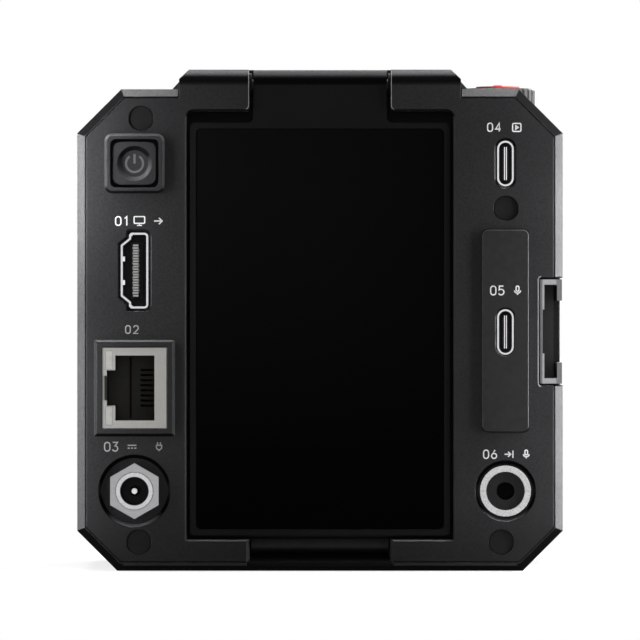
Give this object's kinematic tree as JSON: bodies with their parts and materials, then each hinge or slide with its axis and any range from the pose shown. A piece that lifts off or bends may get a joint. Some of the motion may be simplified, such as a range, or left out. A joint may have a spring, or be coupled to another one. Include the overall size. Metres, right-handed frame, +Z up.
{
  "type": "live streaming camera",
  "caption": "Box camera with interchangeable lens mount, flip-up rear screen, port columns beside it, side cold shoe, dial with record button, and tripod thread.",
  "frame": {"origin": "mouth of the tripod thread, in the bottom face", "axes": "+X to the right as seen from the rear, +Y forward along the lens axis, +Z up"},
  "size_m": [0.0972, 0.0822, 0.1004],
  "materials": {
    "dark_casting": "satin",
    "dark_cover": "satin",
    "bezel_metal": "satin",
    "screen_metal": "satin",
    "shoe_metal": "satin",
    "plate_metal": "satin",
    "button_metal": "satin",
    "sink_metal": "satin",
    "dark_plastic": "matte",
    "glass_dark": "gloss",
    "panel": "satin",
    "steel": "satin",
    "dark_steel": "satin",
    "shell_steel": "satin",
    "ring_steel": "polished",
    "ring_chrome": "polished",
    "barrel_metal": "satin",
    "bush_brass": "satin",
    "gold_contacts": "polished",
    "socket_plastic": "matte",
    "socket_olive": "matte",
    "light_pipe": "gloss",
    "red": "satin",
    "rubber_dark": "matte",
    "sensor_package": "satin",
    "sensor_cover_glass": "gloss",
    "board_green": "satin"
  },
  "bodies": {
    "camera": {"main_housing": "dark_casting", "rear_cover": "dark_cover", "front_cover": "dark_cover", "power_button_bezel": "bezel_metal", "cold_shoe": "shoe_metal", "tripod_plate": "plate_metal", "heat_sink": "sink_metal", "finger_scoop": "dark_plastic", "mic_dock_plate": "dark_plastic", "contact_block": "dark_plastic", "throat_baffle": "dark_plastic", "fan_frame": "dark_plastic", "hinge_pins": "steel", "hinge_washers": "steel", "cold_shoe_screws": "steel", "mount_screws": "steel", "bayonet_spring": "steel", "dc_jack_nut": "steel", "cover_screws": "dark_steel", "hdmi_shell": "shell_steel", "lan_shield": "shell_steel", "usb_c_upper_shell": "shell_steel", "usb_c_lower_shell": "shell_steel", "lens_mount_ring": "ring_steel", "aux_jack_ring": "ring_chrome", "dc_jack_pin": "ring_chrome", "dc_jack_barrel": "barrel_metal", "tripod_bush": "bush_brass", "dial_bush": "bush_brass", "contact_pins": "gold_contacts", "lan_contacts": "gold_contacts", "hdmi_tongue": "socket_plastic", "usb_c_upper_tongue": "socket_plastic", "usb_c_lower_tongue": "socket_plastic", "aux_jack_body": "socket_plastic", "power_switch": "socket_plastic", "lan_insert": "socket_olive", "lan_light_pipes": "light_pipe", "lens_index_mark": "red", "screw_plugs": "rubber_dark", "base_pad": "rubber_dark", "image_sensor": "sensor_package", "sensor_glass": "sensor_cover_glass", "sensor_board": "board_green", "main_board": "board_green", "io_board_left": "board_green", "io_board_right": "board_green", "control_board": "board_green"},
    "screen": {"screen_frame": "screen_metal", "screen_back_cover": "dark_plastic", "screen_glass": "glass_dark", "lcd_panel": "panel"},
    "power_key": {"power_button": "bezel_metal"},
    "record_key": {"record_button": "red"},
    "dial": {"control_dial": "button_metal"},
    "lens_release": {"lens_release_button": "button_metal", "lens_lock_pin": "steel", "release_lever": "steel"},
    "fan": {"fan_rotor": "dark_plastic"}
  },
  "joints": [
    {"name": "screen_tilt", "type": "hinge", "parent": "camera", "child": "screen", "pos_m": [0, -0.0348, 0.0972], "axis": [-1, 0, 0], "range_deg": [0, 180]},
    {"name": "power_press", "type": "slide", "parent": "camera", "child": "power_key", "axis": [0, 1, 0], "range_m": [0, 0.0005], "stiffness_N_per_m": 1500},
    {"name": "record_press", "type": "slide", "parent": "camera", "child": "record_key", "axis": [0, 0, -1], "range_m": [0, 0.0005], "stiffness_N_per_m": 1500},
    {"name": "dial_turn", "type": "hinge", "parent": "camera", "child": "dial", "pos_m": [0.036, -0.019, 0.094], "axis": [0, 0, 1], "continuous": true},
    {"name": "lens_release_press", "type": "slide", "parent": "camera", "child": "lens_release", "axis": [0, -1, 0], "range_m": [0, 0.0015], "stiffness_N_per_m": 1000},
    {"name": "fan_spin", "type": "hinge", "parent": "camera", "child": "fan", "pos_m": [-0.043, 0.008, 0.05], "axis": [1, 0, 0], "continuous": true}
  ]
}
